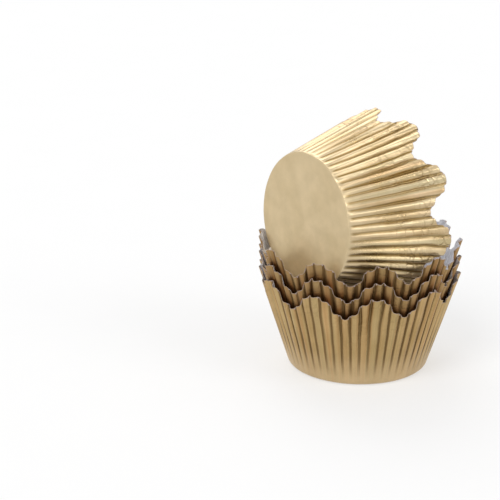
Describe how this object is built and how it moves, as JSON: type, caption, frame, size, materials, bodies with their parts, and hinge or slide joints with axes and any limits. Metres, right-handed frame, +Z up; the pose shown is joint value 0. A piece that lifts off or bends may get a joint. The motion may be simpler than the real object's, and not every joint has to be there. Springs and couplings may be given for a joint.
{
  "type": "stack of cupcake liners",
  "caption": "Nested foil-paper cupcake liners with pleated walls and petal rims, and one more liner tipped on its side in the mouth of the nest.",
  "frame": {"origin": "middle of the underside of the lowest liner's base", "axes": "+Z up along the axis of the nested liners, +Y away from the viewer, +X to the viewer's right"},
  "size_m": [0.0738, 0.074, 0.094],
  "materials": {
    "foil_paper": "satin gold foil outside, uncoated white paper inside"
  },
  "bodies": {
    "root": {"liner_bottom": "foil_paper", "liner_middle": "foil_paper", "liner_top": "foil_paper", "liner_tipped": "foil_paper"}
  },
  "joints": []
}
